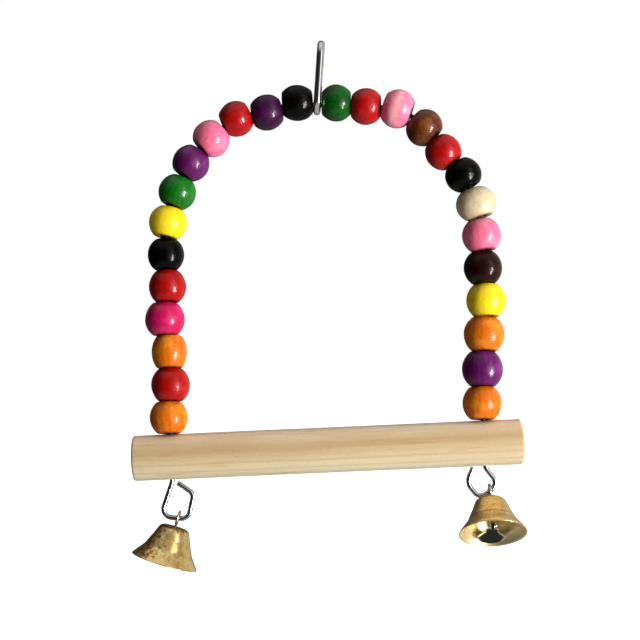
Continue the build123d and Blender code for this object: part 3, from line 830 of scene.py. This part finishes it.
for side, p in BELLS.items():
    ln, tp = radians(p["lean"]), radians(p["tip"])
    down = Vector((-sin(ln) * cos(tp), -sin(tp), -cos(ln) * cos(tp)))
    up = -down
    hinge = Vector(p["hinge"])
    across = (hinge - up * hinge.dot(up)).normalized()
    back = up.cross(across)
    pivot = Vector(p["pivot"])

    def local(q):
        return pivot + across * q[0] + back * q[1] + up * q[2]

    settle(build_bell(side, (pivot, across, back, up), p["seed"]), "bell_" + side, "bell_" + side, p["brass"])
    loop, uw, ud = 2.2, 1.4, 12.2
    pts = [(0, 1.15, -2.30), (0, loop, -1.10), (0, loop, loop), (0, -loop, loop), (0, -loop, -1.10), (0, 0, -2.35), (0, 0, -3.95),
           (uw, 0, -4.75), (uw, 0, -ud), (-uw, 0, -ud), (-uw, 0, -5.0)]
    path = fillet_path([local(q) for q in pts], [0.9, loop - 0.03, loop - 0.03, 1.1, 0.6, 0.45, 0.6, 0.7, 0.7], 8.0, 0.6)
    settle(tube("bell_hook_" + side + "_wire", path, 0.4, 20, 0.10, 0.006, p["seed"] + 20.0), "bell_hook_" + side, "bell_hook_" + side, steel)
    pin = pivot + down * ud
    lie = radians(75.0)
    tongue = down * cos(lie) + back * sin(lie)
    face = across.cross(tongue)
    settle(build_clapper(side, pin, across, tongue, face), "clapper_" + side, "clapper_" + side, clapper_steel)

# =====================================================================  floor, light, camera
scene = bpy.context.scene


def pale_floor():
    n, size, z = 24, 3.0, -0.34
    verts, faces = [], []
    for i in range(n + 1):
        for j in range(n + 1):
            verts.append((-size + 2 * size * i / n, -size + 2 * size * j / n, z))
    for i in range(n):
        for j in range(n):
            a = i * (n + 1) + j
            faces.append((a, a + n + 1, a + n + 2, a + 1))
    obj = add_object("floor", verts, faces)
    m = Nodes("floor_paper")
    co = m.node("ShaderNodeTexCoord").outputs["Object"]
    tone = m.noise(co, 14.0, 3.0, 0.5)
    m.set(Base_Color=m.ramp(tone, [(0.3, (0.92, 0.92, 0.91, 1.0)), (0.7, (0.94, 0.94, 0.935, 1.0))]), Roughness=0.9, Specular_IOR_Level=0.1)
    m.set(Emission_Color=(1.0, 1.0, 1.0, 1.0), Emission_Strength=0.95)
    obj.data.materials.append(m.mat)
    obj.visible_diffuse = False
    obj.visible_glossy = False


pale_floor()

world = bpy.data.worlds.new("studio")
scene.world = world
world.use_nodes = True
wt = world.node_tree
wt.nodes.clear()
out = wt.nodes.new("ShaderNodeOutputWorld")
back_node = wt.nodes.new("ShaderNodeBackground")
room_node = wt.nodes.new("ShaderNodeBackground")
pick_node = wt.nodes.new("ShaderNodeMixShader")
path_node = wt.nodes.new("ShaderNodeLightPath")
back_node.inputs["Color"].default_value = (1.0, 1.0, 1.0, 1.0)
back_node.inputs["Strength"].default_value = 1.0
co = wt.nodes.new("ShaderNodeTexCoord")
sep = wt.nodes.new("ShaderNodeSeparateXYZ")
wt.links.new(co.outputs["Generated"], sep.inputs[0])
neg = wt.nodes.new("ShaderNodeMath"); neg.operation = "MULTIPLY"; neg.inputs[1].default_value = -1.0
wt.links.new(sep.outputs["Y"], neg.inputs[0])
turn = wt.nodes.new("ShaderNodeMath"); turn.operation = "ARCTAN2"
wt.links.new(sep.outputs["X"], turn.inputs[0])
wt.links.new(neg.outputs[0], turn.inputs[1])
unit = wt.nodes.new("ShaderNodeMath"); unit.operation = "MULTIPLY_ADD"
unit.inputs[1].default_value = 1 / (2 * pi)
unit.inputs[2].default_value = 0.5
wt.links.new(turn.outputs[0], unit.inputs[0])
# round the room, in turns: 0 and 1 behind the swing, 0.25 to its left, 0.5 in front, 0.75 to its right
around = wt.nodes.new("ShaderNodeValToRGB")
el = around.color_ramp.elements
stops = [(0.00, 0.15), (0.03, 0.12), (0.10, 0.06), (0.25, 0.02), (0.44, 0.03), (0.52, 0.06), (0.545, 0.16), (0.575, 0.62), (0.60, 0.80), (0.61, 2.2),
         (0.655, 2.2), (0.665, 0.62), (0.685, 0.22), (0.735, 0.22), (0.76, 0.62), (0.92, 0.62), (0.95, 0.18), (1.0, 0.15)]
while len(el) > 1:
    el.remove(el[-1])
el[0].position, el[0].color = stops[0][0], (stops[0][1],) * 3 + (1.0,)
for p, v in stops[1:]:
    e = el.new(p)
    e.color = (v, v * 0.985, v * 0.96, 1.0)
wt.links.new(unit.outputs[0], around.inputs["Fac"])
# ceiling and table
high = wt.nodes.new("ShaderNodeValToRGB")
eh = high.color_ramp.elements
eh[0].position, eh[0].color = 0.0, (1, 1, 1, 1)
eh[1].position, eh[1].color = 1.0, (1, 1, 1, 1)
for p, v in ((0.14, 1.0), (0.26, 0.0), (0.74, 0.0), (0.88, 1.0)):
    e = eh.new(p)
    e.color = (v, v, v, 1.0)
tilt = wt.nodes.new("ShaderNodeMath"); tilt.operation = "MULTIPLY_ADD"
tilt.inputs[1].default_value = 0.5
tilt.inputs[2].default_value = 0.5
wt.links.new(sep.outputs["Z"], tilt.inputs[0])
wt.links.new(tilt.outputs[0], high.inputs["Fac"])
mixer = wt.nodes.new("ShaderNodeMix"); mixer.data_type = "RGBA"
wt.links.new(high.outputs["Color"], mixer.inputs[0])
wt.links.new(around.outputs["Color"], mixer.inputs[6])
# round the top of the walls: dark behind, dim to the left, lighter in front and to the right
cornice = wt.nodes.new("ShaderNodeValToRGB")
ec = cornice.color_ramp.elements
ec[0].position, ec[0].color = 0.0, (0.10, 0.10, 0.10, 1.0)
ec[1].position, ec[1].color = 1.0, (0.10, 0.10, 0.10, 1.0)
for p, v in ((0.08, 0.10), (0.20, 0.22), (0.30, 0.36), (0.50, 0.44), (0.58, 0.60), (0.75, 0.60), (0.92, 0.50), (0.96, 0.12)):
    e = ec.new(p)
    e.color = (v, v, v, 1.0)
wt.links.new(unit.outputs[0], cornice.inputs["Fac"])
# ceiling straight above, and the table below
over = wt.nodes.new("ShaderNodeValToRGB")
eo = over.color_ramp.elements
eo[0].position, eo[0].color = 0.90, (0, 0, 0, 1)
eo[1].position, eo[1].color = 0.95, (1, 1, 1, 1)
wt.links.new(tilt.outputs[0], over.inputs["Fac"])
ceiling = wt.nodes.new("ShaderNodeMix"); ceiling.data_type = "RGBA"
wt.links.new(over.outputs["Color"], ceiling.inputs[0])
wt.links.new(cornice.outputs["Color"], ceiling.inputs[6])
ceiling.inputs[7].default_value = (0.78, 0.78, 0.78, 1.0)
upper = wt.nodes.new("ShaderNodeValToRGB")
eu = upper.color_ramp.elements
eu[0].position, eu[0].color = 0.49, (0, 0, 0, 1)
eu[1].position, eu[1].color = 0.51, (1, 1, 1, 1)
wt.links.new(tilt.outputs[0], upper.inputs["Fac"])
ends = wt.nodes.new("ShaderNodeMix"); ends.data_type = "RGBA"
wt.links.new(upper.outputs["Color"], ends.inputs[0])
ends.inputs[6].default_value = (0.50, 0.50, 0.50, 1.0)
wt.links.new(ceiling.outputs[2], ends.inputs[7])
wt.links.new(ends.outputs[2], mixer.inputs[7])
wt.links.new(mixer.outputs[2], room_node.inputs["Color"])
room_node.inputs["Strength"].default_value = 1.0
wt.links.new(path_node.outputs["Is Camera Ray"], pick_node.inputs[0])
wt.links.new(room_node.outputs[0], pick_node.inputs[1])
wt.links.new(back_node.outputs[0], pick_node.inputs[2])
wt.links.new(pick_node.outputs[0], out.inputs["Surface"])


def area_light(name, where, aim, size_x, size_y, power, colour=(1, 1, 1)):
    data = bpy.data.lights.new(name, "AREA")
    data.shape, data.size, data.size_y, data.energy, data.color = "RECTANGLE", size_x, size_y, power, colour
    obj = bpy.data.objects.new(name, data)
    look = (Vector(aim) - Vector(where)).normalized()
    obj.matrix_world = Matrix.Translation(where) @ look.to_track_quat("-Z", "Y").to_matrix().to_4x4()
    scene.collection.objects.link(obj)
    return obj


centre = Vector((-0.003, 0.0, -0.080))
area_light("window", centre + Vector((0.72, -0.62, -0.26)) * 0.80, centre, 0.14, 0.44, 15.0, (1.0, 0.985, 0.96))
# a soft light straight behind: it reaches only what faces away from the camera
area_light("rear", centre + Vector((0.0, 0.95, 0.12)), centre, 0.5, 0.5, 6.0).visible_glossy = False

cam_data = bpy.data.cameras.new("camera")
cam_data.sensor_fit = "HORIZONTAL"
cam_data.sensor_width = 36.0
cam_data.lens = 18.0 / tan(radians(28.26 / 2))
cam_data.clip_start = 0.01
cam_data.clip_end = 50.0
cam = bpy.data.objects.new("camera", cam_data)
roll = radians(2.5)
right_v, up_v, look_v = Vector((cos(roll), 0, -sin(roll))), Vector((sin(roll), 0, cos(roll))), Vector((0, 1, 0))
m = Matrix.Identity(4)
for r in range(3):
    m[r][0], m[r][1], m[r][2] = right_v[r], up_v[r], -look_v[r]
    m[r][3] = (-0.00382, -0.413, -0.08520)[r]
cam.matrix_world = m
scene.collection.objects.link(cam)
scene.camera = cam
scene.view_settings.view_transform = "Standard"
scene.view_settings.look = "None"
